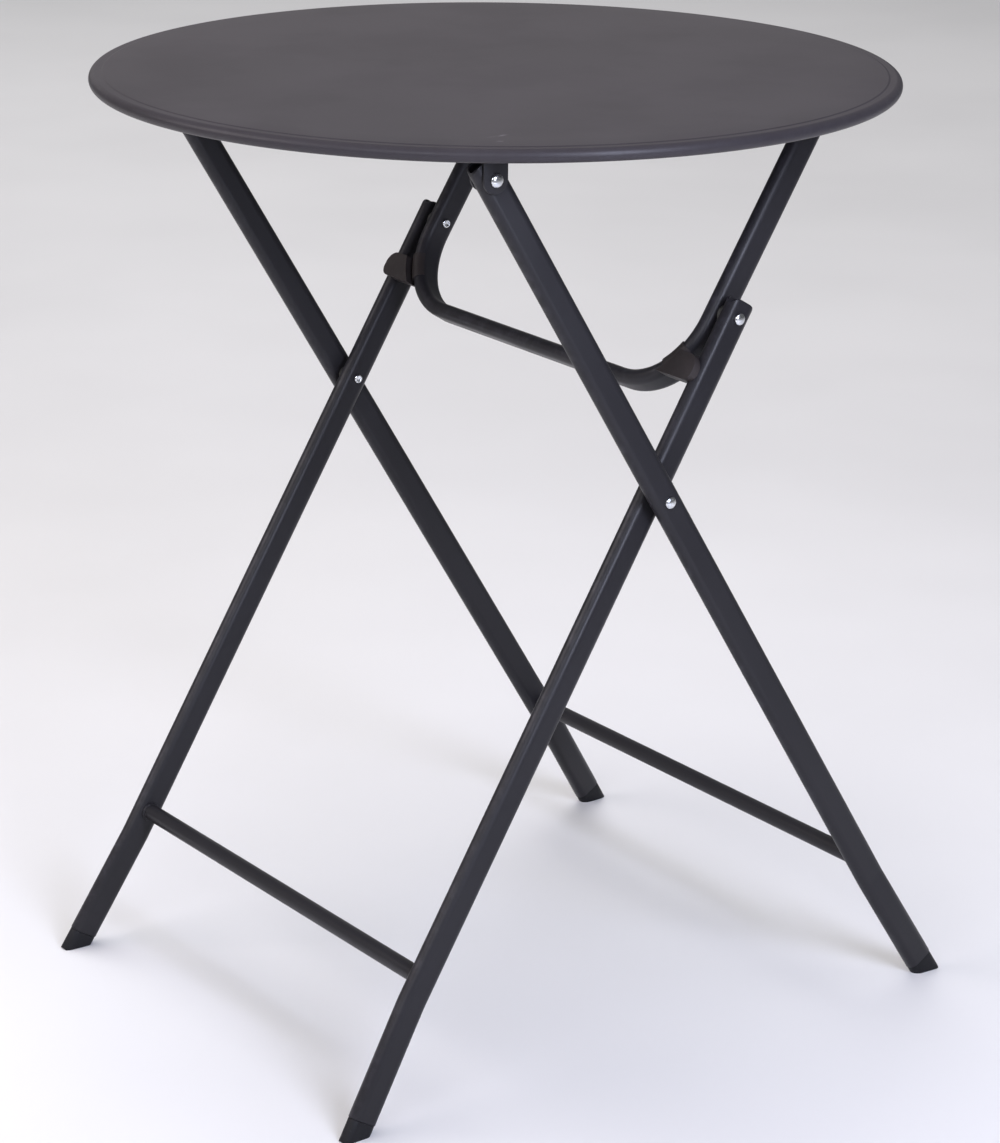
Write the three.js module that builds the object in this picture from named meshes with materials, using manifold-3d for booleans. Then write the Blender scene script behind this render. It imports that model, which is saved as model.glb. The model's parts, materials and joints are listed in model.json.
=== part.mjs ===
// Folding bistro table: a round sheet-metal top on two pairs of crossed flat-oval legs, held
// open by a U-shaped bail. Units are millimetres, +Z is up, the floor is z = 0 and the table
// is centred on the Z axis. The hinge axes run along Y.

import * as THREE from 'three';
import { mergeVertices } from 'three/addons/utils/BufferGeometryUtils.js';
import Module from 'manifold-3d';

const wasm = await Module();
wasm.setup();

// ---------------------------------------------------------------- driving dimensions

const TOP_RADIUS = 300; // outside of the rolled rim
const HEIGHT = 712; // floor to the flat field of the top
const BEAD_RADIUS = 5; // rolled rim, outside
const SHEET = 1.4; // sheet of the top and the curl
const RIM_DROP = 0.5; // crown of the rim below the field
const STEP_RADIUS = 290; // pressed step between field and rim
const STEP_WIDTH = 1.6;

const TUBE_WIDE = 23; // flat-oval tube, across the flats' long way
const TUBE_THIN = 12; // flat-oval tube, thickness along Y
const WALL = 1.5;

const CROSS_Z = 430.5; // height of the crossing pivots
const HINGE_Z = 684.5; // height of the hinges under the top
const INNER_TILT = THREE.MathUtils.degToRad(31.15);
const OUTER_TILT = THREE.MathUtils.degToRad(31.65);

const OUTER_Y = 211; // middle planes of the tubes, each side of the middle
const INNER_Y = 194;
const BAIL_Y = 177;

const TUBE_FOOT_Z = 11; // the tubes end here, caps fill the rest down to the floor
const SPLAY = 7; // sideways set of the feet at floor level
const SPLAY_S = 401; // along the leg from the crossing to the kink
const STRETCHER_S = 381.5; // along the leg from the crossing to the stretcher
const STRETCHER_RADIUS = 6.5;

const OUTER_END = 15; // tube past its top hinge
const INNER_END = 13; // tube past the bail rivet
const BAIL_END = 12; // tube past its hinge

const BAIL_DROP = 68; // bail crossbar below the bail rivet
const BAIL_BEND = 60; // bend radius of the tube's middle line

const PIN_RADIUS = 3;
const HOLE_RADIUS = 3.3;
const HEAD_RADIUS = 4.5;
const HINGE_HEAD_RADIUS = 5; // rivets of the leg hinges
const HEAD_HEIGHT = 3;
const LOW_HEAD_HEIGHT = 1.6; // rivets of the bail hinges
const TAIL_RADIUS = 3.5;
const TAIL_HEIGHT = 2;
const WASHER_RADIUS = 7;
const GAP = 0.3; // air between pieces that touch

const RAIL_WIDE = 40;
const RAIL_THICK = 2.5;
const RAIL_OVERHANG = 14; // rail past the middle planes of its tubes
const PLATE = 2; // bracket plate
const TAB_GAP = 0.5; // bracket tab to tube
const TAB_RADIUS = 10;

const CAP_INSET = 0.4; // foot cap inside the tube's outline, all round
const PLUG_LENGTH = 16; // cap inside the tube
const TOE_TRIM = 2.6; // level cut off the toe's point
const WELD_LENGTH = 3.6; // weld bead at a stretcher's end
const WELD_HEIGHT = 1.8;

const CLIP_LOW = -57.5; // clip block along the bail, from the bail rivet
const CLIP_HIGH = -37.5;
const CLIP_OUT_Y = 197.5;
const CLIP_PROUD = 5; // block past the bail's rounded edge
const CLIP_DEEP = -4; // the block ends here, across the bail
const CLIP_BIG_CORNER = 10;
const CLIP_SMALL_CORNER = 7;
const SLEEVE = 0.8; // wall of the clip's sleeve on the bail
const SLEEVE_DEEP = -8; // the sleeve ends here, across the bail
const SLEEVE_FIRST = THREE.MathUtils.degToRad(24); // sleeve ends, round the bail's bend
const SLEEVE_LAST = THREE.MathUtils.degToRad(45);

// ---------------------------------------------------------------- linkage

// Seen from the side the linkage is a four-bar: top hinge, crossing, bail rivet, bail hinge.
// It folds flat when bail arm = hinge spacing - outer leg + inner leg, which fixes the rivet.
const hingeX = (HINGE_Z - CROSS_Z) * Math.tan(OUTER_TILT);
const outerLink = (HINGE_Z - CROSS_Z) / Math.cos(OUTER_TILT);
const crossToHinge = new THREE.Vector2(hingeX, HINGE_Z - CROSS_Z);
const innerWay = new THREE.Vector2(Math.sin(INNER_TILT), Math.cos(INNER_TILT));
const slack = 2 * hingeX - outerLink;
const RIVET_S =
  (crossToHinge.lengthSq() - slack * slack) / (2 * (crossToHinge.dot(innerWay) + slack));
const rivet = new THREE.Vector2(RIVET_S * innerWay.x, CROSS_Z + RIVET_S * innerWay.y);
const bailArm = Math.hypot(hingeX - rivet.x, HINGE_Z - rivet.y);
const BAIL_TILT = Math.atan2(hingeX - rivet.x, HINGE_Z - rivet.y);

// ---------------------------------------------------------------- materials

function material(color, roughness, metalness) {
  return new THREE.MeshStandardMaterial({ color, roughness, metalness });
}

const topCoat = material(0x5a575c, 0.55, 0.1);
const frameCoat = material(0x2f2f36, 0.45, 0.1);
const zinc = material(0xb9bcc0, 0.3, 1.0);
const clipPlastic = material(0x3d3836, 0.6, 0.0);
const capPlastic = material(0x1d1d20, 0.6, 0.0);
const washerPlastic = material(0x6a6a66, 0.6, 0.0);

// ---------------------------------------------------------------- solids

function toSolid(geometry) {
  const plain = geometry.clone();
  plain.deleteAttribute('normal');
  plain.deleteAttribute('uv');
  const merged = mergeVertices(plain, 1e-4);
  const mesh = new wasm.Mesh({
    numProp: 3,
    vertProperties: new Float32Array(merged.attributes.position.array),
    triVerts: new Uint32Array(merged.index.array),
  });
  return new wasm.Manifold(mesh);
}

function toGeometry(solid) {
  const mesh = solid.getMesh();
  const geometry = new THREE.BufferGeometry();
  geometry.setAttribute('position', new THREE.BufferAttribute(mesh.vertProperties, 3));
  geometry.setIndex(new THREE.BufferAttribute(mesh.triVerts, 1));
  geometry.computeVertexNormals();
  return geometry;
}

/** A round pin along Y, for cutting holes. */
function crossPin(radius, x, y, z, length) {
  const geometry = new THREE.CylinderGeometry(radius, radius, length, 12);
  geometry.translate(x, y, z);
  return toSolid(geometry);
}

/** A block whose face passes through a point, on the inner side of that face's normal. */
function halfSpace(point, normal, size) {
  const geometry = new THREE.BoxGeometry(size, size, size);
  geometry.translate(0, 0, -size / 2);
  const turn = new THREE.Quaternion();
  turn.setFromUnitVectors(new THREE.Vector3(0, 0, 1), normal.clone().normalize());
  geometry.applyQuaternion(turn);
  geometry.translate(point.x, point.y, point.z);
  return geometry;
}

/** Flat-oval outline: x is the long way, y the thin way. */
function ovalPath(wide, thin, path) {
  const r = thin / 2;
  const h = wide / 2 - r;
  path.moveTo(-h, -r);
  path.lineTo(h, -r);
  path.absarc(h, 0, r, -Math.PI / 2, Math.PI / 2, false);
  path.lineTo(-h, r);
  path.absarc(-h, 0, r, Math.PI / 2, (3 * Math.PI) / 2, false);
  return path;
}

function ovalShape(wide, thin) {
  return ovalPath(wide, thin, new THREE.Shape());
}

function ovalTubeShape() {
  const shape = ovalShape(TUBE_WIDE, TUBE_THIN);
  shape.holes.push(ovalPath(TUBE_WIDE - 2 * WALL, TUBE_THIN - 2 * WALL, new THREE.Path()));
  return shape;
}

/** A middle line in the YZ plane made of stations; the section's long way stays along X. */
class MiddleLine extends THREE.Curve {
  constructor(points) {
    super();
    this.points = points;
  }

  getPoint(t, target = new THREE.Vector3()) {
    const f = t * (this.points.length - 1);
    const i = Math.min(Math.floor(f + 1e-9), this.points.length - 2);
    return target.lerpVectors(this.points[i], this.points[i + 1], f - i);
  }

  getPointAt(u, target) {
    return this.getPoint(u, target);
  }

  computeFrenetFrames() {
    const last = this.points.length - 1;
    const tangents = this.points.map((point, i) => {
      const before = this.points[Math.max(i - 1, 0)];
      const after = this.points[Math.min(i + 1, last)];
      const back = point.clone().sub(before).normalize();
      const ahead = after.clone().sub(point).normalize();
      return back.add(ahead).normalize();
    });
    const normals = tangents.map(() => new THREE.Vector3(1, 0, 0));
    const binormals = tangents.map((t, i) => new THREE.Vector3().crossVectors(t, normals[i]));
    return { tangents, normals, binormals };
  }
}

function sweep(shape, points) {
  return new THREE.ExtrudeGeometry(shape, {
    steps: points.length - 1,
    extrudePath: new MiddleLine(points),
    curveSegments: 3,
  });
}

function at(y, z) {
  return new THREE.Vector3(0, y, z);
}

// ---------------------------------------------------------------- assembly helpers

const table = new THREE.Group();

function turnedGroup(x, z, tilt) {
  const group = new THREE.Group();
  group.position.set(x, 0, z);
  group.rotation.y = tilt;
  group.updateMatrixWorld(true);
  table.add(group);
  return group;
}

function addMesh(parent, name, geometry, look) {
  const mesh = new THREE.Mesh(geometry, look);
  mesh.name = name;
  parent.add(mesh);
  return mesh;
}

const SIDES = [
  ['near', -1],
  ['far', 1],
];

/** A turned piece from its outline (radius, y), placed along Y and mirrored for the near side. */
function addTurned(parent, name, outline, side, x, z, look, segments = 12) {
  const points = outline.map(([radius, y]) => new THREE.Vector2(radius, y));
  const mesh = addMesh(parent, name, new THREE.LatheGeometry(points, segments), look);
  mesh.position.set(x, 0, z);
  mesh.rotation.z = side < 0 ? Math.PI : 0;
  return mesh;
}

/** Outline of a rivet: a formed tail at y0, a shank, and a domed head at y1. */
function rivetOutline(y0, y1, headRadius, headHeight) {
  return [...tailOutline(y0), ...headOutline(y1, headRadius, headHeight)];
}

function tailOutline(y0) {
  return [
    [0, y0 - TAIL_HEIGHT],
    [TAIL_RADIUS * 0.7, y0 - TAIL_HEIGHT * 0.8],
    [TAIL_RADIUS, y0 - TAIL_HEIGHT * 0.25],
    [TAIL_RADIUS, y0],
    [PIN_RADIUS, y0],
  ];
}

function headOutline(y1, headRadius, headHeight) {
  return [
    [PIN_RADIUS, y1],
    [headRadius, y1],
    [headRadius, y1 + headHeight * 0.3],
    [headRadius * 0.72, y1 + headHeight * 0.8],
    [0, y1 + headHeight],
  ];
}

function washerOutline(y0, y1) {
  return [
    [HOLE_RADIUS, y0],
    [WASHER_RADIUS, y0],
    [WASHER_RADIUS, y1],
    [HOLE_RADIUS, y1],
    [HOLE_RADIUS, y0],
  ];
}

// ---------------------------------------------------------------- tabletop

/** Sheet with a pressed step and a rolled rim: upper side out, round the curl and back. */
function tabletopGeometry() {
  const beadR = TOP_RADIUS - BEAD_RADIUS;
  const rimZ = HEIGHT - RIM_DROP;
  const beadZ = rimZ - BEAD_RADIUS;
  const first = THREE.MathUtils.degToRad(90);
  const last = THREE.MathUtils.degToRad(-150);
  const arcs = 9;
  const profile = [];
  profile.push(new THREE.Vector2(0, HEIGHT));
  profile.push(new THREE.Vector2(STEP_RADIUS - STEP_WIDTH / 2, HEIGHT));
  profile.push(new THREE.Vector2(STEP_RADIUS + STEP_WIDTH / 2, rimZ));
  for (let i = 0; i <= arcs; i++) {
    const a = first + ((last - first) * i) / arcs;
    const x = beadR + BEAD_RADIUS * Math.cos(a);
    profile.push(new THREE.Vector2(x, beadZ + BEAD_RADIUS * Math.sin(a)));
  }
  const inside = BEAD_RADIUS - SHEET;
  for (let i = arcs; i >= 0; i--) {
    const a = first + ((last - first) * i) / arcs;
    const x = beadR + inside * Math.cos(a);
    profile.push(new THREE.Vector2(x, beadZ + inside * Math.sin(a)));
  }
  profile.push(new THREE.Vector2(STEP_RADIUS, rimZ - SHEET));
  profile.push(new THREE.Vector2(STEP_RADIUS - STEP_WIDTH, HEIGHT - SHEET));
  profile.push(new THREE.Vector2(0, HEIGHT - SHEET));
  profile.reverse();
  const geometry = new THREE.LatheGeometry(profile, 60);
  geometry.rotateX(Math.PI / 2);
  return geometry;
}

addMesh(table, 'tabletop_sheet', tabletopGeometry(), topCoat);

const railTop = HEIGHT - SHEET - GAP;
const railMiddle = railTop - RAIL_THICK / 2;
const clevisTop = railTop - RAIL_THICK - GAP;

function addRail(name, x, halfLength) {
  const rail = addMesh(
    table,
    name,
    new THREE.BoxGeometry(RAIL_WIDE, 2 * halfLength, RAIL_THICK),
    frameCoat,
  );
  rail.position.set(x, 0, railMiddle);
}

addRail('top_rail_left', -hingeX, OUTER_Y + RAIL_OVERHANG);
addRail('top_rail_right', hingeX, BAIL_Y + RAIL_OVERHANG);

/** Channel bracket: a web under the rail and two rounded tabs, one each side of the tube. */
function clevisGeometry(x, y) {
  const inside = TUBE_THIN / 2 + TAB_GAP;
  const outside = inside + PLATE;
  const bottom = HINGE_Z - TAB_RADIUS;
  const channel = new THREE.Shape();
  channel.moveTo(-outside, clevisTop);
  channel.lineTo(-outside, bottom - 1);
  channel.lineTo(-inside, bottom - 1);
  channel.lineTo(-inside, clevisTop - PLATE);
  channel.lineTo(inside, clevisTop - PLATE);
  channel.lineTo(inside, bottom - 1);
  channel.lineTo(outside, bottom - 1);
  channel.lineTo(outside, clevisTop);
  const length = 2 * TAB_RADIUS + 2;
  const along = new THREE.ExtrudeGeometry(channel, { depth: length, bevelEnabled: false });
  along.translate(0, 0, -length / 2);
  along.applyMatrix4(
    new THREE.Matrix4().makeBasis(
      new THREE.Vector3(0, 1, 0),
      new THREE.Vector3(0, 0, 1),
      new THREE.Vector3(1, 0, 0),
    ),
  );
  const face = new THREE.Shape();
  face.moveTo(TAB_RADIUS, clevisTop + 1);
  face.lineTo(-TAB_RADIUS, clevisTop + 1);
  face.lineTo(-TAB_RADIUS, HINGE_Z);
  face.absarc(0, HINGE_Z, TAB_RADIUS, Math.PI, 2 * Math.PI, false);
  const across = new THREE.ExtrudeGeometry(face, {
    depth: 2 * outside + 2,
    bevelEnabled: false,
    curveSegments: 5,
  });
  across.rotateX(Math.PI / 2);
  across.translate(0, outside + 1, 0);
  const solid = toSolid(along)
    .intersect(toSolid(across))
    .subtract(crossPin(HOLE_RADIUS, 0, 0, HINGE_Z, 40));
  const geometry = toGeometry(solid);
  geometry.translate(x, y, 0);
  return geometry;
}

const tabFace = TUBE_THIN / 2 + TAB_GAP + PLATE;

for (const [label, side] of SIDES) {
  addMesh(table, `leg_bracket_${label}`, clevisGeometry(-hingeX, side * OUTER_Y), frameCoat);
  addMesh(table, `bail_bracket_${label}`, clevisGeometry(hingeX, side * BAIL_Y), frameCoat);
  const legIn = OUTER_Y - tabFace - GAP;
  const legOut = OUTER_Y + tabFace + GAP;
  const legPin = rivetOutline(legIn, legOut, HINGE_HEAD_RADIUS, HEAD_HEIGHT);
  addTurned(table, `leg_hinge_rivet_${label}`, legPin, side, -hingeX, HINGE_Z, zinc);
  const bailIn = BAIL_Y - tabFace - GAP;
  const bailOut = BAIL_Y + tabFace + GAP;
  const bailPin = rivetOutline(bailIn, bailOut, HEAD_RADIUS, LOW_HEAD_HEIGHT);
  addTurned(table, `bail_hinge_rivet_${label}`, bailPin, side, hingeX, HINGE_Z, zinc);
}

// ---------------------------------------------------------------- leg frames

const splaySlope = Math.atan2(SPLAY, CROSS_Z / Math.cos(INNER_TILT) - SPLAY_S);

/** Middle line of a leg in its frame: foot, kink, top end. */
function legPoints(side, y, tilt, topEnd) {
  const footS = (TUBE_FOOT_Z - CROSS_Z) / Math.cos(tilt);
  const footY = side * (y + (-SPLAY_S - footS) * Math.tan(splaySlope));
  return [at(footY, footS), at(side * y, -SPLAY_S), at(side * y, topEnd)];
}

function legGeometry(points, side, y, holes) {
  let solid = toSolid(sweep(ovalTubeShape(), points));
  for (const s of holes) {
    solid = solid.subtract(crossPin(HOLE_RADIUS, 0, side * y, s, 2 * TUBE_THIN));
  }
  return toGeometry(solid);
}

/** End cap: a plug in the tube and a wedge cut flat at the floor with a trimmed toe. */
function capGeometry(points, group, tilt) {
  const [foot, kink] = points;
  const down = foot.clone().sub(kink).normalize();
  const head = ovalShape(TUBE_WIDE - 2 * CAP_INSET, TUBE_THIN - 2 * CAP_INSET);
  const headTop = foot.clone().addScaledVector(down, GAP);
  const headEnd = foot.clone().addScaledVector(down, 40);
  const plug = ovalShape(TUBE_WIDE - 2 * WALL - 2 * GAP, TUBE_THIN - 2 * WALL - 2 * GAP);
  const plugTop = foot.clone().addScaledVector(down, -PLUG_LENGTH);
  const plugEnd = foot.clone().addScaledVector(down, 1);
  const world = group.matrixWorld;
  const back = world.clone().invert();
  const floor = halfSpace(new THREE.Vector3(0, 0, 0), new THREE.Vector3(0, 0, -1), 900);
  floor.applyMatrix4(back);
  const toeSide = Math.sign(tilt) * -1;
  const footWorld = foot.clone().applyMatrix4(world);
  const toeX = footWorld.x + toeSide * (TUBE_WIDE / 2 / Math.cos(tilt) - TOE_TRIM);
  const offset = toeSide * footWorld.z * Math.tan(Math.abs(tilt));
  const toe = halfSpace(
    new THREE.Vector3(toeX + offset, 0, 0),
    new THREE.Vector3(toeSide * 0.87, 0, -0.49),
    900,
  );
  toe.applyMatrix4(back);
  const solid = toSolid(sweep(head, [headEnd, headTop]))
    .intersect(toSolid(floor))
    .intersect(toSolid(toe))
    .add(toSolid(sweep(plug, [plugEnd, plugTop])));
  return toGeometry(solid);
}

/** Round cross rod with weld beads at both ends. */
function addStretcher(group, name, halfLength) {
  const r = STRETCHER_RADIUS;
  const outline = [
    [0, -halfLength],
    [r + WELD_HEIGHT, -halfLength],
    [r + WELD_HEIGHT * 0.75, -halfLength + WELD_LENGTH * 0.4],
    [r, -halfLength + WELD_LENGTH],
    [r, halfLength - WELD_LENGTH],
    [r + WELD_HEIGHT * 0.75, halfLength - WELD_LENGTH * 0.4],
    [r + WELD_HEIGHT, halfLength],
    [0, halfLength],
  ];
  addTurned(group, name, outline, 1, 0, -STRETCHER_S, frameCoat, 16);
}

const innerFrame = turnedGroup(0, CROSS_Z, INNER_TILT);
const outerFrame = turnedGroup(0, CROSS_Z, -OUTER_TILT);

for (const [label, side] of SIDES) {
  const outer = legPoints(side, OUTER_Y, OUTER_TILT, outerLink + OUTER_END);
  const outerLeg = legGeometry(outer, side, OUTER_Y, [0, outerLink]);
  addMesh(outerFrame, `outer_leg_${label}`, outerLeg, frameCoat);
  const outerCap = capGeometry(outer, outerFrame, -OUTER_TILT);
  addMesh(outerFrame, `outer_foot_cap_${label}`, outerCap, capPlastic);

  const inner = legPoints(side, INNER_Y, INNER_TILT, RIVET_S + INNER_END);
  const innerLeg = legGeometry(inner, side, INNER_Y, [0, RIVET_S]);
  addMesh(innerFrame, `inner_leg_${label}`, innerLeg, frameCoat);
  const innerCap = capGeometry(inner, innerFrame, INNER_TILT);
  addMesh(innerFrame, `inner_foot_cap_${label}`, innerCap, capPlastic);

  // Crossing pivot: one rivet through both tubes, with a washer between them.
  const innerFace = INNER_Y - TUBE_THIN / 2 - GAP;
  const outerFace = OUTER_Y + TUBE_THIN / 2 + GAP;
  const cross = rivetOutline(innerFace, outerFace, HEAD_RADIUS, HEAD_HEIGHT);
  addTurned(outerFrame, `cross_rivet_${label}`, cross, side, 0, 0, zinc);
  const gapIn = INNER_Y + TUBE_THIN / 2 + GAP;
  const gapOut = OUTER_Y - TUBE_THIN / 2 - GAP;
  const washer = washerOutline(gapIn, gapOut);
  addTurned(outerFrame, `cross_washer_${label}`, washer, side, 0, 0, washerPlastic);

  // Bail rivet, leg half: the head outside and the shank through the leg only.
  const y0 = INNER_Y - TUBE_THIN / 2 + GAP;
  const y1 = INNER_Y + TUBE_THIN / 2 + GAP;
  const headHalf = [[0, y0], [PIN_RADIUS, y0], ...headOutline(y1, HEAD_RADIUS, HEAD_HEIGHT)];
  addTurned(innerFrame, `bail_rivet_head_${label}`, headHalf, side, 0, RIVET_S, zinc);
}

addStretcher(outerFrame, 'outer_stretcher', OUTER_Y - TUBE_THIN / 2 - GAP);
addStretcher(innerFrame, 'inner_stretcher', INNER_Y - TUBE_THIN / 2 - GAP);

// ---------------------------------------------------------------- bail

const bail = turnedGroup(rivet.x, rivet.y, BAIL_TILT);

/** Middle line of the bail: down the near arm, round two bends, up the far arm. */
function bailPoints() {
  const steps = 8;
  const centreY = BAIL_Y - BAIL_BEND;
  const centreZ = BAIL_BEND - BAIL_DROP;
  const points = [at(-BAIL_Y, bailArm + BAIL_END)];
  for (let i = 0; i <= steps; i++) {
    const a = (Math.PI / 2) * (i / steps);
    points.push(at(-centreY - BAIL_BEND * Math.cos(a), centreZ - BAIL_BEND * Math.sin(a)));
  }
  for (let i = steps; i >= 0; i--) {
    const a = (Math.PI / 2) * (i / steps);
    points.push(at(centreY + BAIL_BEND * Math.cos(a), centreZ - BAIL_BEND * Math.sin(a)));
  }
  points.push(at(BAIL_Y, bailArm + BAIL_END));
  return points;
}

let bailSolid = toSolid(sweep(ovalTubeShape(), bailPoints()));
for (const side of [-1, 1]) {
  for (const s of [0, bailArm]) {
    bailSolid = bailSolid.subtract(crossPin(HOLE_RADIUS, 0, side * BAIL_Y, s, 2 * TUBE_THIN));
  }
}
addMesh(bail, 'bail_tube', toGeometry(bailSolid), frameCoat);

/** D-shaped block of the clip, in its outline (y, z), from its proud face inwards. */
function clipBlock(bendY, bendZ) {
  const inY = bendY + BAIL_BEND * Math.cos(SLEEVE_LAST);
  const big = CLIP_BIG_CORNER;
  const small = CLIP_SMALL_CORNER;
  const face = new THREE.Shape();
  face.moveTo(inY, CLIP_LOW);
  face.lineTo(CLIP_OUT_Y - small, CLIP_LOW);
  face.absarc(CLIP_OUT_Y - small, CLIP_LOW + small, small, -Math.PI / 2, 0, false);
  face.lineTo(CLIP_OUT_Y, CLIP_HIGH - big);
  face.absarc(CLIP_OUT_Y - big, CLIP_HIGH - big, big, 0, Math.PI / 2, false);
  face.lineTo(inY, CLIP_HIGH);
  const proud = -TUBE_WIDE / 2 - CLIP_PROUD;
  const block = new THREE.ExtrudeGeometry(face, {
    depth: CLIP_DEEP - proud,
    bevelEnabled: false,
    curveSegments: 4,
  });
  block.translate(0, 0, proud);
  const turn = new THREE.Matrix4().makeBasis(
    new THREE.Vector3(0, 1, 0),
    new THREE.Vector3(0, 0, 1),
    new THREE.Vector3(1, 0, 0),
  );
  block.applyMatrix4(turn);
  const edge = BAIL_BEND + TUBE_THIN / 2;
  const bendSpace = new THREE.CylinderGeometry(edge, edge, 4 * TUBE_WIDE, 48);
  bendSpace.rotateZ(Math.PI / 2);
  bendSpace.translate(0, bendY, bendZ);
  return toSolid(block).subtract(toSolid(bendSpace));
}

/** Clip on the bail's bend: a sleeve round the tube's edge and a block that seats on the leg. */
function clipGeometry(side) {
  const bendY = BAIL_Y - BAIL_BEND;
  const bendZ = BAIL_BEND - BAIL_DROP;
  const steps = 4;
  const line = [];
  for (let i = 0; i <= steps; i++) {
    const a = SLEEVE_FIRST + (SLEEVE_LAST - SLEEVE_FIRST) * (i / steps);
    line.push(at(bendY + BAIL_BEND * Math.cos(a), bendZ - BAIL_BEND * Math.sin(a)));
  }
  const wall = GAP + SLEEVE;
  const sleeve = toSolid(sweep(ovalShape(TUBE_WIDE + 2 * wall, TUBE_THIN + 2 * wall), line));
  const deep = halfSpace(
    new THREE.Vector3(SLEEVE_DEEP, 0, 0),
    new THREE.Vector3(1, 0, 0),
    1000,
  );
  const tubeSpace = ovalShape(TUBE_WIDE + 2 * GAP, TUBE_THIN + 2 * GAP);
  const legSpace = sweep(tubeSpace, [at(INNER_Y, RIVET_S - 120), at(INNER_Y, RIVET_S + 20)]);
  legSpace.applyMatrix4(innerFrame.matrixWorld);
  legSpace.applyMatrix4(bail.matrixWorld.clone().invert());
  let solid = sleeve
    .intersect(toSolid(deep))
    .add(clipBlock(bendY, bendZ))
    .subtract(toSolid(sweep(tubeSpace, bailPoints())))
    .subtract(toSolid(legSpace));
  if (side < 0) {
    solid = solid.mirror([0, 1, 0]);
  }
  return toGeometry(solid);
}

for (const [label, side] of SIDES) {
  addMesh(bail, `bail_clip_${label}`, clipGeometry(side), clipPlastic);

  // Bail rivet, bail half: the formed tail inside, the shank through the arm and a washer.
  const y0 = BAIL_Y - TUBE_THIN / 2 - GAP;
  const y1 = INNER_Y - TUBE_THIN / 2 - GAP - 0.9;
  const tailHalf = [...tailOutline(y0), [PIN_RADIUS, y1], [0, y1]];
  addTurned(bail, `bail_rivet_tail_${label}`, tailHalf, side, 0, 0, zinc);
  const washer = washerOutline(BAIL_Y + TUBE_THIN / 2 + GAP, y1);
  addTurned(bail, `bail_washer_${label}`, washer, side, 0, 0, washerPlastic);
}

table.updateMatrixWorld(true);

export default table;
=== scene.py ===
"""Folding bistro table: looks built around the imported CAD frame. Metres, +Z up."""

import json
import math

import bmesh
import bpy
from mathutils import Matrix, Vector


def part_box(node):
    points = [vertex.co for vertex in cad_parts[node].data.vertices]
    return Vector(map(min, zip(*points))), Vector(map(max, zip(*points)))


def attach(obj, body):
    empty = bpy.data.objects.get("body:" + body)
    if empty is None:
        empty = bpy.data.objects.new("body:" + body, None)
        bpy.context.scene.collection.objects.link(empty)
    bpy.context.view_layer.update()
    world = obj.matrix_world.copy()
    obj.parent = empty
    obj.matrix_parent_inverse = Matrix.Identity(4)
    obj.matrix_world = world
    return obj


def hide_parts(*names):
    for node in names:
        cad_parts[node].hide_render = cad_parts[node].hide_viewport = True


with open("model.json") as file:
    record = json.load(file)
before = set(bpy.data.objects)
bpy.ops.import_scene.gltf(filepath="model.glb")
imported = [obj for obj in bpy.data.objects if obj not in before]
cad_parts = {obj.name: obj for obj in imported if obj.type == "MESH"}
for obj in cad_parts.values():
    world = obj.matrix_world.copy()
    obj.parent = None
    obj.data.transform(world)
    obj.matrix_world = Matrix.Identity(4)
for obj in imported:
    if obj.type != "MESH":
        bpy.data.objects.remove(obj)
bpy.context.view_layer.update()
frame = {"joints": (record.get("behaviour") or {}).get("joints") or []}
MM = 0.001

# ------------------------------------------------------------------ places, from the frame


def middle(node):
    low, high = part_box(node)
    return (low + high) / 2


def joint_place(name):
    return Vector(next(j["pos_m"] for j in frame["joints"] if j["name"] == name))


TUBE_WIDE = 23 * MM
TUBE_THIN = 12 * MM
TUBE_CORNER = 7 * MM
WALL = 1.5 * MM
GAP = 0.3 * MM
SIDES = (("near", -1), ("far", 1))

leg_hinge = joint_place("tabletop_fold")
crossing = joint_place("inner_frame_fold")
bail_hinge = joint_place("bail_fold")
bail_rivet = middle("bail_rivet_head_far")
bail_rivet.y = 0
outer_y = middle("leg_bracket_far").y
inner_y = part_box("cross_washer_far")[0].y - GAP - TUBE_THIN / 2
bail_y = middle("bail_bracket_far").y
top_low, top_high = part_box("tabletop_sheet")


class Lean:
    """A leaning side view: origin, the way along the tube and the way across its flats."""

    def __init__(self, origin, towards):
        self.origin = origin
        self.along = (towards - origin).normalized()
        self.across = Vector((self.along.z, 0, -self.along.x))
        self.length = (towards - origin).length

    def at(self, s, y, across=0.0):
        return self.origin + self.along * s + self.across * across + Vector((0, y, 0))

    def reach(self, z):
        """Distance along the tube at which its middle line is at height z."""
        return (z - self.origin.z) / self.along.z


outer = Lean(crossing, leg_hinge)
inner = Lean(crossing, bail_rivet)
bail = Lean(bail_rivet, bail_hinge)

# ------------------------------------------------------------------ mesh helpers


def piece(name, mesh, material, body, nodes=(), smooth=35):
    """A shown piece with sharp edges past an angle, riding on a body, standing for nodes."""
    for face in mesh.polygons:
        face.use_smooth = True
    mesh.set_sharp_from_angle(angle=math.radians(smooth))
    obj = bpy.data.objects.new(name, mesh)
    bpy.context.scene.collection.objects.link(obj)
    mesh.materials.clear()
    mesh.materials.append(material)
    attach(obj, body)
    if nodes:
        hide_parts(*nodes)
    return obj


def mesh_from(name, verts, faces, wear=None):
    """A mesh from points and faces, normals out, with an optional edge wear amount per point."""
    mesh = bpy.data.meshes.new(name)
    mesh.from_pydata([tuple(v) for v in verts], [], faces)
    mesh.validate()
    attribute = mesh.attributes.new("edge_wear", "FLOAT", "POINT")
    attribute.data.foreach_set("value", wear or [0.0] * len(mesh.vertices))
    tidy = bmesh.new()
    tidy.from_mesh(mesh)
    bmesh.ops.recalc_face_normals(tidy, faces=tidy.faces)
    tidy.to_mesh(mesh)
    tidy.free()
    return mesh


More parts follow.
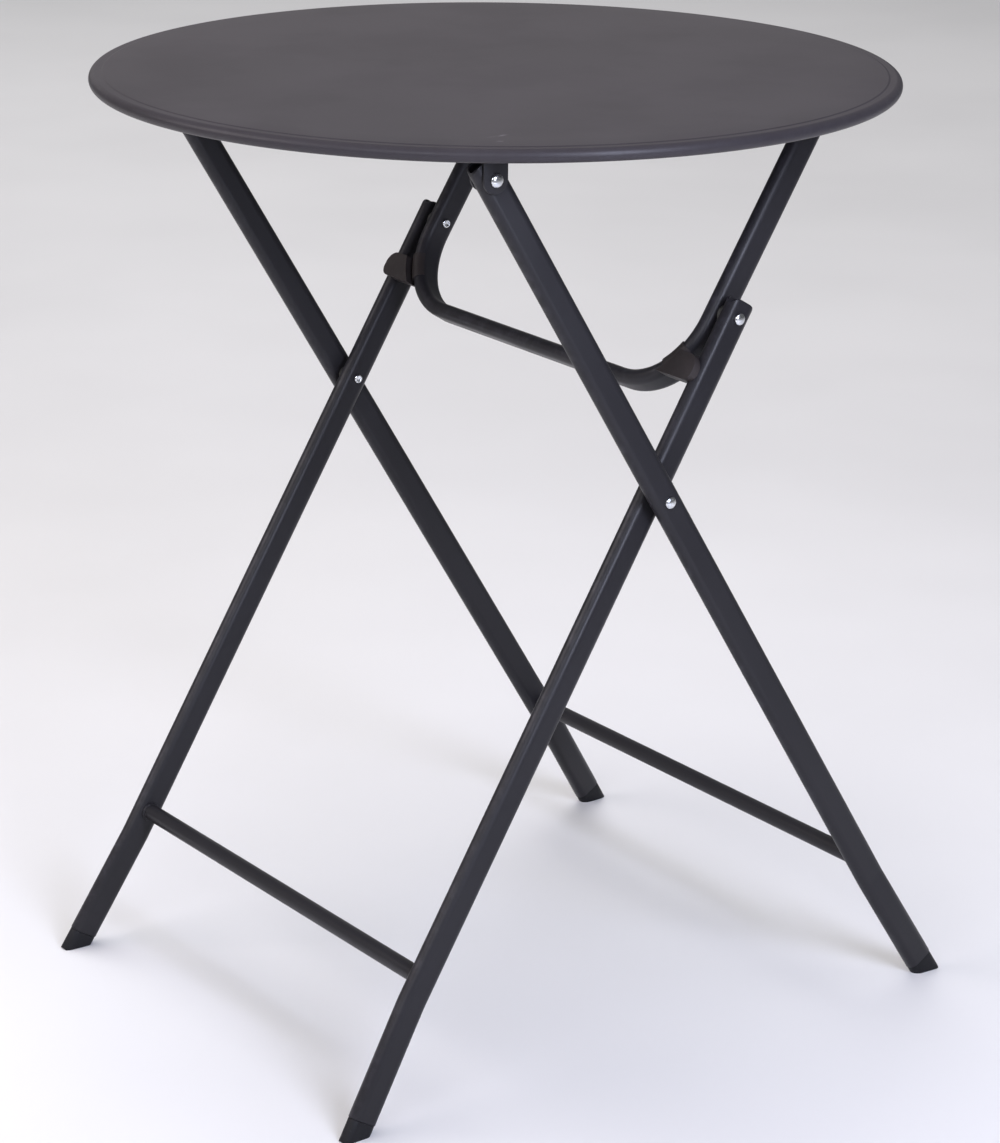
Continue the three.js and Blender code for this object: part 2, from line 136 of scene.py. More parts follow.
def arc(cx, cy, radius, start, end, steps):
    """Points on a round stretch, angles in degrees."""
    angles = [math.radians(start + (end - start) * i / steps) for i in range(steps + 1)]
    return [(cx + radius * math.cos(a), cy + radius * math.sin(a)) for a in angles]


def oval(wide, thin, steps=12):
    """Flat-oval outline: (across, side) points, with a support point beside each corner."""
    r = thin / 2
    h = wide / 2 - r
    support = min(0.8 * MM, h / 3)
    points = arc(h, 0, r, -90, 90, steps)
    points += [(h - support, r), (support - h, r)]
    points += arc(-h, 0, r, 90, 270, steps)
    points += [(support - h, -r), (h - support, -r)]
    return points


def oval_wear(wide, thin):
    """Wear amount for each point of the flat-oval outline: high on the rounded edges."""
    reach = wide / 2
    return [max(0.0, (abs(x) / reach - 0.75) / 0.25) for x, _ in oval(wide, thin)]


def rounded_path(corners, radius, steps=10):
    """Polyline with each inner corner turned into an arc of that radius."""
    points = [corners[0]]
    for before, corner, after in zip(corners, corners[1:], corners[2:]):
        back = (before - corner).normalized()
        ahead = (after - corner).normalized()
        half = back.angle(ahead) / 2
        setback = radius / math.tan(half)
        centre = corner + (back + ahead).normalized() * (radius / math.sin(half))
        first = corner + back * setback - centre
        last = corner + ahead * setback - centre
        for i in range(steps + 1):
            points.append(centre + first.slerp(last, i / steps) * radius)
    points.append(corners[-1])
    return points


def corner_pull(a, wide, corner):
    """How far a tube end is drawn back at offset a from its middle, for rounded corners."""
    past = max(0.0, min(corner, abs(a) - (wide / 2 - corner)))
    return corner - math.sqrt(corner * corner - past * past)


def tube_mesh(name, path, across, corners=(0.0, 0.0)):
    """A hollow flat-oval tube along a path, all quads; corners are radii on its two ends."""
    wide, thin, wall, edge = TUBE_WIDE, TUBE_THIN, WALL, 0.35 * MM

    last = len(path) - 1

    def frame_at(i):
        back = (path[i] - path[max(i - 1, 0)]).normalized()
        ahead = (path[min(i + 1, len(path) - 1)] - path[i]).normalized()
        along = (back + ahead).normalized()
        return path[i], along, along.cross(across).normalized()

    def ring(i, inset, pull=0.0):
        place, along, side = frame_at(i)
        place = place + along * pull
        section = oval(wide - 2 * inset, thin - 2 * inset)
        corner = corners[0] if i == 0 else corners[1] if i == last else 0.0
        draw = 1 if i == 0 else -1
        back = [draw * corner_pull(a, wide, corner) for a, _ in section]
        return [place + across * a + side * b + along * c for (a, b), c in zip(section, back)]

    rounding = ((edge, 0.0), (0.3 * edge, 0.3 * edge), (0.0, edge))
    rings = [ring(0, inset, pull) for inset, pull in rounding]
    rings += [ring(i, 0) for i in range(1, last)]
    rings += [ring(last, inset, -pull) for inset, pull in reversed(rounding)]
    rings += [ring(last, wall - 0.3 * edge), ring(last, wall, -edge)]
    rings += [ring(i, wall) for i in range(last - 1, 0, -1)]
    rings += [ring(0, wall, edge), ring(0, wall - 0.3 * edge)]
    n = len(rings[0])
    verts = [v for r in rings for v in r]
    wear = oval_wear(wide, thin) * len(rings)
    faces = []
    for k in range(len(rings)):
        a, b = k * n, ((k + 1) % len(rings)) * n
        faces += [(a + i, a + (i + 1) % n, b + (i + 1) % n, b + i) for i in range(n)]
    return mesh_from(name, verts, faces, wear)


def turned_mesh(name, outline, segments, axis="Y", wear=None):
    """A body of revolution from (radius, height) points that start and end on the axis,
    or that close on themselves."""
    verts, rows, amounts = [], [], []
    for k, (radius, height) in enumerate(outline):
        row = []
        count = 1 if radius < 1e-7 else segments
        for i in range(count):
            a = 2 * math.pi * i / segments
            x, y = radius * math.cos(a), radius * math.sin(a)
            verts.append((x, y, height) if axis == "Z" else (x, height, y))
            row.append(len(verts) - 1)
            amounts.append(wear[k] if wear else 0.0)
        rows.append(row)
    if len(rows[0]) > 1:
        rows.append(rows[0])
    faces = []
    for a, b in zip(rows, rows[1:]):
        for i in range(segments):
            corners = [a[i % len(a)], a[(i + 1) % len(a)], b[(i + 1) % len(b)], b[i % len(b)]]
            corners = list(dict.fromkeys(corners))
            if len(corners) > 2:
                faces.append(corners)
    return mesh_from(name, verts, faces, amounts)


def moved(mesh, place, turn=None):
    mesh.transform(Matrix.Translation(place) @ (turn or Matrix.Identity(4)))
    return mesh


def prism_mesh(name, outline, depth, basis):
    """An outline of (a, b) points pushed along c; basis gives the ways a, b, c and the origin."""
    way_a, way_b, way_c, origin = basis
    verts = [origin + way_a * a + way_b * b for a, b in outline]
    verts += [v + way_c * depth for v in verts]
    n = len(outline)
    faces = [tuple(range(n)), tuple(range(2 * n - 1, n - 1, -1))]
    faces += [(i, n + i, n + (i + 1) % n, (i + 1) % n) for i in range(n)]
    return mesh_from(name, verts, faces)


def cut_mesh(mesh, tools, operation="DIFFERENCE", bevel=0.0, segments=3):
    """The mesh after exact booleans with the tool meshes and a bevel on its sharp edges."""
    body = bpy.data.objects.new("work", mesh)
    bpy.context.scene.collection.objects.link(body)
    helpers = []
    for tool in tools:
        helper = bpy.data.objects.new("tool", tool)
        bpy.context.scene.collection.objects.link(helper)
        step = body.modifiers.new("cut", "BOOLEAN")
        step.operation = operation
        step.solver = "EXACT"
        step.object = helper
        helpers.append(helper)
    if bevel:
        weld = body.modifiers.new("weld", "WELD")
        weld.merge_threshold = 0.02 * MM
        step = body.modifiers.new("bevel", "BEVEL")
        step.width = bevel
        step.segments = segments
        step.limit_method = "ANGLE"
        step.angle_limit = math.radians(28)
        step.miter_outer = "MITER_ARC"
    graph = bpy.context.evaluated_depsgraph_get()
    result = bpy.data.meshes.new_from_object(body.evaluated_get(graph), depsgraph=graph)
    for obj in (body, *helpers):
        bpy.data.objects.remove(obj)
    result.name = mesh.name
    return result


# ------------------------------------------------------------------ material helpers


class Nodes:
    """Short calls for building one material's node tree."""

    def __init__(self, name):
        self.material = bpy.data.materials.new(name)
        self.material.use_nodes = True
        self.tree = self.material.node_tree
        self.shader = self.tree.nodes["Principled BSDF"]
        self.place = self.add("ShaderNodeTexCoord").outputs["Object"]

    def add(self, kind, **settings):
        node = self.tree.nodes.new(kind)
        for key, value in settings.items():
            setattr(node, key, value)
        return node

    def link(self, a, b):
        self.tree.links.new(a, b)

    def stretched(self, scale, turn=(0, 0, 0)):
        mapping = self.add("ShaderNodeMapping")
        mapping.inputs["Scale"].default_value = scale
        mapping.inputs["Rotation"].default_value = turn
        self.link(self.place, mapping.inputs["Vector"])
        return mapping.outputs["Vector"]

    def noise(self, scale, detail=2.0, rough=0.5, vector=None):
        node = self.add("ShaderNodeTexNoise")
        node.inputs["Scale"].default_value = scale
        node.inputs["Detail"].default_value = detail
        node.inputs["Roughness"].default_value = rough
        self.link(vector or self.place, node.inputs["Vector"])
        return node.outputs["Fac"]

    def spot(self, place, turn, length, width):
        """1 inside a small oval at a place on the object, fading to 0 at its edge."""
        mapping = self.add("ShaderNodeMapping", vector_type="TEXTURE")
        mapping.inputs["Location"].default_value = place
        mapping.inputs["Rotation"].default_value = (0, 0, turn)
        mapping.inputs["Scale"].default_value = (length / 2, width / 2, 1)
        self.link(self.place, mapping.inputs["Vector"])
        distance = self.add("ShaderNodeVectorMath", operation="LENGTH")
        self.link(mapping.outputs["Vector"], distance.inputs[0])
        return self.ramp(distance.outputs["Value"], 1.0, 0.3)

    def ramp(self, value, low, high, to_low=0.0, to_high=1.0):
        node = self.add("ShaderNodeMapRange")
        node.interpolation_type = "SMOOTHSTEP"
        settings = zip(("From Min", "From Max", "To Min", "To Max"), (low, high, to_low, to_high))
        for key, amount in settings:
            node.inputs[key].default_value = amount
        self.link(value, node.inputs["Value"])
        return node.outputs["Result"]

    def math(self, operation, a, b):
        node = self.add("ShaderNodeMath", operation=operation)
        for socket, value in zip(node.inputs, (a, b)):
            if isinstance(value, (int, float)):
                socket.default_value = value
            else:
                self.link(value, socket)
        return node.outputs["Value"]

    def mix(self, amount, a, b):
        """Colour mix; a and b are colours or sockets."""
        node = self.add("ShaderNodeMix", data_type="RGBA")
        self.link(amount, node.inputs["Factor"])
        for key, value in (("A", a), ("B", b)):
            socket = next(s for s in node.inputs if s.name == key and s.type == "RGBA")
            if isinstance(value, tuple):
                socket.default_value = (*value, 1)
            else:
                self.link(value, socket)
        return next(s for s in node.outputs if s.type == "RGBA")

    def bump(self, height, strength, distance, below=None):
        node = self.add("ShaderNodeBump")
        node.inputs["Strength"].default_value = strength
        node.inputs["Distance"].default_value = distance
        self.link(height, node.inputs["Height"])
        if below:
            self.link(below, node.inputs["Normal"])
        return node.outputs["Normal"]

    def wear(self):
        return self.add("ShaderNodeAttribute", attribute_name="edge_wear").outputs["Fac"]

    def finish(self, colour, roughness, normal=None, **fixed):
        self.link(colour, self.shader.inputs["Base Color"])
        self.link(roughness, self.shader.inputs["Roughness"])
        if normal:
            self.link(normal, self.shader.inputs["Normal"])
        for key, value in fixed.items():
            self.shader.inputs[key.replace("_", " ")].default_value = value
        return self.material


def scaled(colour, factor):
    return tuple(c * factor for c in colour)


def powder_coat(name, colour, edge_colour, rough_low, rough_high, scratches=0.0, scuffs=()):
    """Textured powder coat: tone drift, fine speckle, orange peel, rubbed edges, smudges,
    and scuffs given as (place, turn, length, width, strength)."""
    n = Nodes(name)
    drift = n.noise(7, 3, 0.55)
    tone = n.mix(n.ramp(drift, 0.3, 0.7), scaled(colour, 0.92), scaled(colour, 1.08))
    grain = n.noise(1900, 2, 0.6)
    tone = n.mix(n.ramp(grain, 0.55, 0.8, 0, 0.35), tone, scaled(colour, 1.5))
    pits = n.noise(900, 1, 0.5)
    tone = n.mix(n.ramp(pits, 0.66, 0.74, 0, 0.3), tone, scaled(colour, 0.55))
    rubbed = n.math("MULTIPLY", n.wear(), n.ramp(n.noise(90, 4, 0.65), 0.42, 0.72, 0, 0.75))
    tone = n.mix(rubbed, tone, edge_colour)
    smudge = n.ramp(n.noise(11, 4, 0.6, n.stretched((1, 1, 0.6))), 0.35, 0.7)
    roughness = n.ramp(smudge, 0, 1, rough_low, rough_high)
    roughness = n.math("SUBTRACT", roughness, n.math("MULTIPLY", rubbed, 0.08))
    peel = n.bump(n.noise(420, 3, 0.5), 0.35, 0.12 * MM)
    normal = n.bump(grain, 0.25, 0.05 * MM, peel)
    if scratches:
        for turn, across, where in ((0.35, 900, 5.0), (-0.6, 1300, 8.0), (1.2, 1100, 6.5)):
            streak = n.noise(1, 2, 0.5, n.stretched((14, across, 14), (0, 0, turn)))
            patch = n.noise(where, 1, 0.5, n.stretched((1, 1, 1), (0.2, 0.1, turn)))
            streak = n.ramp(streak, 0.74, 0.8)
            mask = n.math("MULTIPLY", streak, n.ramp(patch, 0.62, 0.72, 0, scratches))
            tone = n.mix(mask, tone, scaled(colour, 2.1))
            roughness = n.math("ADD", roughness, n.math("MULTIPLY", mask, 0.12))
    for place, turn, length, width, strength in scuffs:
        grit = n.ramp(n.noise(700, 3, 0.7), 0.3, 0.6, 0.4, 1)
        mask = n.math("MULTIPLY", n.spot(place, turn, length, width), grit)
        tone = n.mix(n.math("MULTIPLY", mask, strength), tone, scaled(colour, 3.0))
    return n.finish(tone, roughness, normal, Specular_IOR_Level=0.24)


def zinc_plate(name):
    """Bright zinc on steel: faint cloudy tint, fine bump grain, tiny dull spots."""
    n = Nodes(name)
    cloud = n.ramp(n.noise(160, 3, 0.6), 0.35, 0.7)
    tone = n.mix(cloud, (0.60, 0.62, 0.65), (0.80, 0.81, 0.82))
    spots = n.ramp(n.noise(1500, 2, 0.5), 0.64, 0.72, 0, 0.6)
    tone = n.mix(spots, tone, (0.34, 0.34, 0.35))
    roughness = n.ramp(cloud, 0, 1, 0.16, 0.3)
    roughness = n.math("ADD", roughness, n.math("MULTIPLY", spots, 0.25))
    normal = n.bump(n.noise(1100, 3, 0.6), 0.2, 0.03 * MM)
    return n.finish(tone, roughness, normal, Metallic=1.0)


def moulded(name, colour, rough_low, rough_high):
    """Matt moulded plastic: eroded mould texture, flow tone, some dust, paler rubbed edges."""
    n = Nodes(name)
    flow = n.noise(34, 3, 0.6)
    tone = n.mix(n.ramp(flow, 0.3, 0.7), scaled(colour, 0.85), scaled(colour, 1.18))
    dust = n.ramp(n.noise(520, 3, 0.7), 0.58, 0.78, 0, 0.3)
    tone = n.mix(dust, tone, tuple(0.7 * c + 0.05 for c in colour))
    rubbed = n.math("MULTIPLY", n.wear(), n.ramp(n.noise(260, 3, 0.6), 0.4, 0.7, 0, 0.6))
    tone = n.mix(rubbed, tone, scaled(colour, 1.8))
    roughness = n.ramp(n.noise(60, 3, 0.6), 0.35, 0.7, rough_low, rough_high)
    normal = n.bump(n.noise(1400, 2, 0.6), 0.4, 0.06 * MM)
    return n.finish(tone, roughness, normal, Specular_IOR_Level=0.25)


# The top's tone is the frame's powder coat set about twice as light; its slight purple tint is the
# coat's own, and the extra lightness is painted light for the brighter light on the top face.
TOP_TONE_WITH_PAINTED_LIGHT = (0.037, 0.033, 0.038)
FRAME_TONE = (0.018, 0.0172, 0.0202)
FRONT_SCUFFS = (
    (Vector((-144 * MM, -209 * MM, top_high.z)), math.radians(14), 13 * MM, 4.5 * MM, 0.9),
    (Vector((-153 * MM, -209 * MM, top_high.z)), math.radians(2), 12 * MM, 4 * MM, 0.4),
    (Vector((-157 * MM, -224 * MM, top_high.z)), math.radians(-33), 7 * MM, 5 * MM, 0.9),
)
top_coat = powder_coat(
    "top_powder_coat", TOP_TONE_WITH_PAINTED_LIGHT, (0.044, 0.041, 0.048), 0.41, 0.43, 0.5, FRONT_SCUFFS
)
frame_coat = powder_coat("frame_powder_coat", FRAME_TONE, (0.040, 0.038, 0.046), 0.36, 0.46)
zinc = zinc_plate("zinc_plate")
clip_plastic = moulded("clip_nylon", (0.0285, 0.0235, 0.0235), 0.46, 0.6)
cap_plastic = moulded("cap_polyethylene", (0.007, 0.007, 0.009), 0.42, 0.6)
washer_plastic = moulded("washer_nylon", (0.075, 0.075, 0.07), 0.45, 0.6)

# ------------------------------------------------------------------ tabletop

TOP_RADIUS = top_high.x
RIM_DROP = 0.5 * MM
BEAD = (top_high.z - RIM_DROP - top_low.z) / 2
SHEET = 1.4 * MM
STEP_RADIUS = TOP_RADIUS - 10 * MM
STEP_WIDTH = 1.8 * MM
RUBBED_WIDTH = 4 * MM
RUBBED_DEPTH = 9 * MM


def build_top():
    """Pressed sheet: flat field, a soft step down, the rolled bead and its hidden curl."""
    bead_r = TOP_RADIUS - BEAD
    bead_z = top_high.z - RIM_DROP - BEAD
    field_z = top_high.z
    field = [(STEP_RADIUS * k / 12, field_z) for k in range(12)]
    step = []
    steps = 10
    for i in range(steps + 1):
        t = i / steps
        across = STEP_RADIUS + STEP_WIDTH * (t - 0.5)
        step.append((across, field_z - RIM_DROP * (1 - math.cos(math.pi * t)) / 2))
    bead = arc(bead_r, bead_z, BEAD, 90, -150, 40)
    curl = arc(bead_r, bead_z, BEAD - SHEET, -150, 90, 40)
    under = [(r, z - SHEET) for r, z in reversed(step)]
    under += [(r, z - SHEET) for r, z in reversed(field)]
    outline = field + step + bead + curl + under
    wear = []
    for radius, height in outline:
        near_rim = max(0.0, (radius - (TOP_RADIUS - RUBBED_WIDTH)) / RUBBED_WIDTH)
        wear.append(near_rim * max(0.0, 1 - (field_z - height) / RUBBED_DEPTH))
    mesh = turned_mesh("tabletop", outline, 288, "Z", wear)
    piece("fine_tabletop", mesh, top_coat, "tabletop", ["tabletop_sheet"])


build_top()


def flat_bar(name, low, high, edge):
    """A flat bar between two corners, with rounded long edges and corners."""
    outline = []
    radius = 4 * MM
    corners = ((high.x, high.y, 0), (low.x, high.y, 90), (low.x, low.y, 180), (high.x, low.y, 270))
    for x, y, start in corners:
        cx = x - radius * (1 if x == high.x else -1)
        cy = y - radius * (1 if y == high.y else -1)
        outline += arc(cx, cy, radius, start, start + 90, 5)
    ways = (Vector((1, 0, 0)), Vector((0, 1, 0)), Vector((0, 0, 1)), Vector((0, 0, low.z)))
    return cut_mesh(prism_mesh(name, outline, high.z - low.z, ways), [], bevel=edge)


SPOT_COUNT = 5
SPOT_SPACING = 0.17
SPOT_RADIUS = 3.2 * MM


def spot_weld(radius):
    """A small dished weld spot that faces down."""
    outline = [(0, 0.1 * MM), (radius * 0.6, 0.06 * MM), (radius * 0.8, -0.12 * MM)]
    outline += [(radius, -0.02 * MM), (radius * 1.02, 0.3 * MM), (0, 0.3 * MM)]
    return outline


def build_rails():
    for side in ("left", "right"):
        node = f"top_rail_{side}"
        low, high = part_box(node)
        bar = flat_bar(node, low, high, 0.5 * MM)
        piece(f"fine_{node}", bar, frame_coat, "tabletop", [node])
        for i in range(SPOT_COUNT):
            y = (i - (SPOT_COUNT - 1) / 2) * SPOT_SPACING * (high.y - low.y)
            spot = turned_mesh("spot", spot_weld(SPOT_RADIUS), 28, "Z")
            moved(spot, Vector(((low.x + high.x) / 2, y, low.z)))
            piece(f"spot_weld_{side}_{i}", spot, frame_coat, "tabletop")


build_rails()

TAB_RADIUS = 10 * MM
PLATE = 2 * MM


def bracket_mesh(name, x, y):
    """Bent channel bracket: a web, two tabs with round ends, small bend radii."""
    low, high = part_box(name)
    half = (high.y - low.y) / 2
    bend = 2.6 * MM
    inside = half - PLATE
    inner_bend = bend - PLATE
    profile = [(-half, low.z), (-inside, low.z)]
    profile += arc(-inside + inner_bend, high.z - PLATE - inner_bend, inner_bend, 180, 90, 4)
    profile += arc(inside - inner_bend, high.z - PLATE - inner_bend, inner_bend, 90, 0, 4)
    profile += [(inside, low.z), (half, low.z)]
    profile += arc(half - bend, high.z - bend, bend, 0, 90, 6)
    profile += arc(-half + bend, high.z - bend, bend, 90, 180, 6)
    ways = (Vector((0, 1, 0)), Vector((0, 0, 1)), Vector((1, 0, 0)), Vector((low.x - MM, y, 0)))
    channel = prism_mesh(name, profile, high.x - low.x + 2 * MM, ways)
    centre_z = low.z + TAB_RADIUS
    face = [(TAB_RADIUS, high.z + MM), (-TAB_RADIUS, high.z + MM)]
    face += arc(0, centre_z, TAB_RADIUS, 180, 360, 28)
    across = (Vector((1, 0, 0)), Vector((0, 0, 1)), Vector((0, 1, 0)), Vector((x, low.y - MM, 0)))
    tab = prism_mesh("tab", face, high.y - low.y + 2 * MM, across)
    return cut_mesh(channel, [tab], "INTERSECT", bevel=0.3 * MM, segments=2)


def weld_bead(name, points, radius, body):
    """A rippled weld bead along points, painted over with the frame's coat."""
    count = 8
    verts, faces = [], []
    for k, place in enumerate(points):
        along = (points[min(k + 1, len(points) - 1)] - points[max(k - 1, 0)]).normalized()
        up = along.orthogonal().normalized()
        side = along.cross(up)
        swell = radius * (1 + 0.16 * (-1) ** k)
        if k in (0, len(points) - 1):
            swell *= 0.55
        for i in range(count):
            a = 2 * math.pi * i / count
            verts.append(place + (up * math.cos(a) + side * math.sin(a)) * swell)
    for k in range(len(points) - 1):
        for i in range(count):
            a, b = k * count + i, k * count + (i + 1) % count
            faces.append((a, b, b + count, a + count))
    faces.append(tuple(range(count)))
    faces.append(tuple(range(len(verts) - count, len(verts))))
    mesh = mesh_from(name, verts, faces)
    return piece(name, mesh, frame_coat, body, smooth=60)


def build_brackets():
    for kind, hinge, y in (("leg", leg_hinge, outer_y), ("bail", bail_hinge, bail_y)):
        for label, side in SIDES:
            node = f"{kind}_bracket_{label}"
            mesh = bracket_mesh(node, hinge.x, side * y)
            piece(f"fine_{node}", mesh, frame_coat, "tabletop", [node])
            low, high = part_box(node)
            for end, edge in (("a", low.y), ("b", high.y)):
                steps = 13
                start = Vector((low.x + 2 * MM, edge, high.z - 0.5 * MM))
                way = Vector(((high.x - low.x - 4 * MM) / (steps - 1), 0, 0))
                line = [start + way * i for i in range(steps)]
                weld_bead(f"bracket_weld_{kind}_{label}_{end}", line, 1.3 * MM, "tabletop")


build_brackets()

# ------------------------------------------------------------------ rivets and washers


def dome(radius, height, base, steps=12):
    """Rounded rivet head from its rim to its crown, on a short straight edge."""
    edge = 0.28 * height
    points = [(radius, base), (radius, base + edge)]
    for i in range(1, steps + 1):
        a = math.pi / 2 * i / steps
        points.append((radius * math.cos(a), base + edge + (height - edge) * math.sin(a)))
    points[-1] = (0, base + height)
    return points


def rolled_tail(radius, height, base, pin):
    """Formed tail of a tubular rivet: a rolled ring round a shallow dimple; it faces -height."""
    bore = 0.42 * radius
    ring = (radius - bore) / 2
    points = [(0, base - 0.5 * height), (0.55 * bore, base - 0.52 * height)]
    points += arc(radius - ring, base - height + ring, ring, 190, 350, 10)
    points += [(radius, base - 0.2 * MM), (radius, base), (pin, base)]
    return points


def rivet(node, body, side, parts):
    """A rivet along Y, from its parts' outlines; heights run outward from the middle."""
    mesh = turned_mesh(node, [p for part in parts for p in part], 40)
    place = middle(node)
    turn = Matrix.Diagonal((1, side, 1, 1))
    moved(mesh, Vector((place.x, 0, place.z)), turn)
    if side < 0:
        mesh.flip_normals()
    piece(f"fine_{node}", mesh, zinc, body, [node], smooth=42)


def span(node, side):
    """Near and far faces of a node along Y, counted outward from the middle."""
    low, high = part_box(node)
    return sorted((side * low.y, side * high.y))


PIN = 3 * MM
TAIL = 3.5 * MM


def build_rivets():
    for label, side in SIDES:
        for node, body, head_height in (
            (f"leg_hinge_rivet_{label}", "tabletop", 3 * MM),
            (f"bail_hinge_rivet_{label}", "tabletop", 1.6 * MM),
            (f"cross_rivet_{label}", "outer_frame", 3 * MM),
        ):
            first, last = span(node, side)
            low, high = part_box(node)
            head = (high.x - low.x) / 2
            tail = rolled_tail(TAIL, 2 * MM, first + 2 * MM, PIN)
            crown = dome(head, head_height, last - head_height)
            rivet(node, body, side, (tail, [(PIN, last - head_height)], crown))
        node = f"bail_rivet_head_{label}"
        first, last = span(node, side)
        low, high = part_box(node)
        shank = [(0, first), (PIN * 0.9, first), (PIN, first + 0.3 * MM), (PIN, last - 3 * MM)]
        crown = dome((high.x - low.x) / 2, 3 * MM, last - 3 * MM)
        rivet(node, "inner_frame", side, (shank, crown))
        node = f"bail_rivet_tail_{label}"
        first, last = span(node, side)
        tail = rolled_tail(TAIL, 2 * MM, first + 2 * MM, PIN)
        shank = [(PIN, last - 0.3 * MM), (PIN * 0.9, last), (0, last)]
        rivet(node, "bail", side, (tail, shank))


def build_washers():
    for label, _ in SIDES:
        for kind, body in (("cross", "outer_frame"), ("bail", "bail")):
            node = f"{kind}_washer_{label}"
            low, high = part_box(node)
            outside = (high.x - low.x) / 2
            bore = PIN + GAP
            round_off = 0.4 * MM
            y0, y1 = low.y, high.y
            outline = [(bore, y0 + round_off), (bore + round_off, y0)]
            outline += [(outside - round_off, y0), (outside - 0.1 * MM, y0 + 0.12 * MM)]
            outline += [(outside, y0 + round_off), (outside, y1 - round_off)]
            outline += [(outside - 0.1 * MM, y1 - 0.12 * MM), (outside - round_off, y1)]
            outline += [(bore + round_off, y1), (bore, y1 - round_off)]
            mesh = turned_mesh(node, outline, 48)
            place = middle(node)
            moved(mesh, Vector((place.x, 0, place.z)))
            piece(f"fine_{node}", mesh, washer_plastic, body, [node])


build_rivets()
build_washers()

# ------------------------------------------------------------------ leg frames

KINK_S = -401 * MM
TUBE_FOOT_Z = 11 * MM
KINK_RADIUS = 90 * MM
SPLAY = 7 * MM
TOE_TRIM = 2.6 * MM
TOE_SLOPE = (0.87, -0.49)


def leg_corners(lean, side, y, end_s):
    """Foot, kink and top end of a leg's middle line."""
    floor_s = lean.reach(0)
    slope = SPLAY / (KINK_S - floor_s)
    foot_s = lean.reach(TUBE_FOOT_Z)
    foot_y = side * (y + (KINK_S - foot_s) * slope)
    return [lean.at(foot_s, foot_y), lean.at(KINK_S, side * y), lean.at(end_s, side * y)]


def cap_mesh(name, lean, corners, toe_way):
    """Foot cap: a flat-oval block cut flat at the floor, with a trimmed toe."""
    down = (corners[0] - corners[1]).normalized()
    across = lean.across
    side = down.cross(across).normalized()
    shape = oval(TUBE_WIDE - 0.8 * MM, TUBE_THIN - 0.8 * MM, 16)
    start = corners[0] + down * GAP
    block = prism_mesh(name, shape, 0.04, (across, side, down, start))
    work = bmesh.new()
    work.from_mesh(block)
    toe_x = corners[0].x + toe_way * (TUBE_WIDE / 2 / lean.along.z - TOE_TRIM)
    toe_x += toe_way * corners[0].z * abs(lean.along.x / lean.along.z)
    for place, normal in (
        (Vector((0, 0, 0)), Vector((0, 0, -1))),
        (Vector((toe_x, 0, 0)), Vector((toe_way * TOE_SLOPE[0], 0, TOE_SLOPE[1]))),
    ):
        everything = work.verts[:] + work.edges[:] + work.faces[:]
        cut = bmesh.ops.bisect_plane(
            work, geom=everything, plane_co=place, plane_no=normal, clear_outer=True
        )
        edges = [e for e in cut["geom_cut"] if isinstance(e, bmesh.types.BMEdge)]
        bmesh.ops.contextual_create(work, geom=edges)
    work.to_mesh(block)
    work.free()
    return cut_mesh(block, [], bevel=0.9 * MM, segments=4)


def build_leg_frame(body, kind, lean, y, end_s, toe_way):
    for label, side in SIDES:
        corners = leg_corners(lean, side, y, end_s)
        node = f"{kind}_leg_{label}"
        path = rounded_path(corners, KINK_RADIUS)
        mesh = tube_mesh(node, path, lean.across, (0.0, TUBE_CORNER))
        piece(f"fine_{node}", mesh, frame_coat, body, [node])
        node = f"{kind}_foot_cap_{label}"
        mesh = cap_mesh(node, lean, corners, toe_way)
        piece(f"fine_{node}", mesh, cap_plastic, body, [node])


OUTER_END = 15 * MM
INNER_END = 13 * MM
build_leg_frame("outer_frame", "outer", outer, outer_y, outer.length + OUTER_END, 1)
build_leg_frame("inner_frame", "inner", inner, inner_y, inner.length + INNER_END, -1)

STRETCHER_RADIUS = 6.5 * MM


def build_stretcher(body, kind):
    """Round rod with a rippled weld ring at each end."""
    node = f"{kind}_stretcher"
    low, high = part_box(node)
    place = middle(node)
    r = STRETCHER_RADIUS
    outline = [(0, low.y), (r, low.y)]
    outline += [(r, low.y + (high.y - low.y) * k / 12) for k in range(1, 12)]
    outline += [(r, high.y), (0, high.y)]
    mesh = turned_mesh(node, outline, 48)
    moved(mesh, Vector((place.x, 0, place.z)))
    piece(f"fine_{node}", mesh, frame_coat, body, [node])
    for label, y in (("near", low.y), ("far", high.y)):
        verts, faces = [], []
        around, section = 84, 10
        inward = 1 if label == "near" else -1
        for i in range(around):
            a = 2 * math.pi * i / around
            swell = 0.95 * MM * (1 + 0.1 * math.cos(14 * a))
            out = Vector((math.cos(a), 0, math.sin(a)))
            centre = Vector((place.x, y + inward * 0.5 * MM, place.z)) + out * (r + 0.1 * MM)
            for k in range(section):
                b = 2 * math.pi * k / section
                lift = out * (math.cos(b) * swell) + Vector((0, math.sin(b) * swell * 1.25, 0))
                verts.append(centre + lift)
        for i in range(around):
            for k in range(section):
                a0 = i * section + k
                a1 = i * section + (k + 1) % section
                b0 = ((i + 1) % around) * section + k
                b1 = ((i + 1) % around) * section + (k + 1) % section
                faces.append((a0, a1, b1, b0))
        ring = mesh_from("weld", verts, faces)
        name = f"{kind}_stretcher_weld_{label}"
        piece(name, ring, frame_coat, body, smooth=60)


build_stretcher("outer_frame", "outer")
build_stretcher("inner_frame", "inner")

# ------------------------------------------------------------------ bail and clips

BAIL_DROP = -68 * MM
BAIL_BEND = 60 * MM
BAIL_END = 12 * MM
CLIP_LOW = -57.5 * MM
CLIP_HIGH = -37.5 * MM
CLIP_OUT_Y = 197.5 * MM
CLIP_BIG_CORNER = 10 * MM
CLIP_SMALL_CORNER = 7 * MM
CLIP_DEEP = -4 * MM
CLIP_PROUD = 5 * MM
SLEEVE_DEEP = -8 * MM
SLEEVE = 0.8 * MM
SLEEVE_ENDS = (math.radians(24), math.radians(45))


